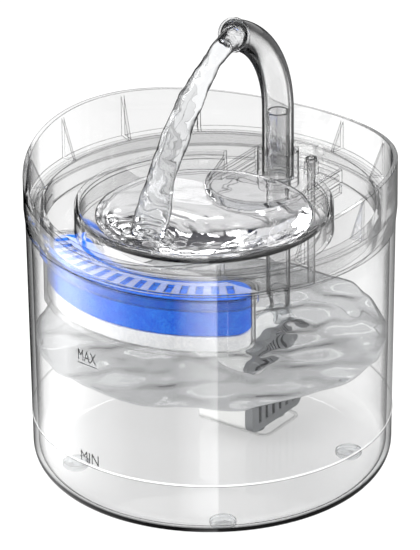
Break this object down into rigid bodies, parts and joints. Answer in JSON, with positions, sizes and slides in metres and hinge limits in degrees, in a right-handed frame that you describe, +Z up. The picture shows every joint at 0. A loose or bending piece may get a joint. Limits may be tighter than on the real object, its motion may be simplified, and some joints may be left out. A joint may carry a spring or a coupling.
{
  "type": "pet water fountain",
  "caption": "Clear round pet water fountain: jar, drinking tray with splash wall and bowl, gooseneck spout, crescent filter cartridge and small submersible pump.",
  "frame": {"origin": "middle of the surface that the feet stand on", "axes": "+Z up, -Y towards the drinking side, +X to the right of someone who looks along +Y"},
  "size_m": [0.1816, 0.1816, 0.2305],
  "materials": {
    "clear_plastic": "clear polished moulded plastic",
    "clear_silicone": "translucent silicone",
    "blue_foam": "open-cell foam",
    "white_wadding": "non-woven wadding",
    "carbon": "granules in a pad",
    "white_plastic": "satin moulded plastic",
    "grey_plastic": "satin moulded plastic",
    "black_sponge": "open-cell foam",
    "magnet": "moulded ferrite",
    "ceramic": "ground ceramic",
    "black_rubber": "moulded rubber",
    "core_steel": "stamped laminations",
    "copper_wire": "enamelled winding",
    "board": "lacquered board",
    "black_resin": "cast potting resin"
  },
  "bodies": {
    "jar": {"tank": "clear_plastic", "tank_feet": "clear_silicone", "riser_tube": "clear_plastic", "riser_sleeve": "clear_silicone", "pump_housing": "white_plastic", "impeller_cover": "white_plastic", "rotor_shaft": "ceramic", "front_bush": "black_rubber", "rear_bush": "black_rubber", "stator_core": "core_steel", "stator_coil": "copper_wire", "driver_board": "board", "back_plate": "black_resin", "cable_gland": "black_rubber", "suction_cups": "clear_silicone"},
    "tray": {"tray": "clear_plastic", "cable_guide": "clear_plastic"},
    "washer": {"spout_washer": "clear_silicone"},
    "spout": {"spout": "clear_plastic"},
    "filter": {"filter_case": "clear_plastic", "filter_foam": "blue_foam", "filter_wadding": "white_wadding", "carbon_bed": "carbon"},
    "grille": {"pump_grille": "grey_plastic", "grille_sponge": "black_sponge"},
    "rotor": {"impeller": "white_plastic", "rotor_magnet": "magnet"}
  },
  "joints": [
    {"name": "tray_lift", "type": "slide", "parent": "jar", "child": "tray", "axis": [0, 0, 1], "range_m": [0, 0.08]},
    {"name": "spout_pull", "type": "slide", "parent": "tray", "child": "washer", "axis": [0, 0, 1], "range_m": [0, 0.045]},
    {"name": "spout_turn", "type": "hinge", "parent": "washer", "child": "spout", "pos_m": [0, 0.0586, 0.15], "axis": [0, 0, 1], "range_deg": [-30, 30]},
    {"name": "filter_pull", "type": "slide", "parent": "tray", "child": "filter", "axis": [0, 0, -1], "range_m": [0, 0.05]},
    {"name": "grille_pull", "type": "slide", "parent": "jar", "child": "grille", "axis": [1, 0, 0], "range_m": [0, 0.015]},
    {"name": "rotor_spin", "type": "hinge", "parent": "jar", "child": "rotor", "pos_m": [0, 0.051, 0.022], "axis": [1, 0, 0], "continuous": true}
  ]
}
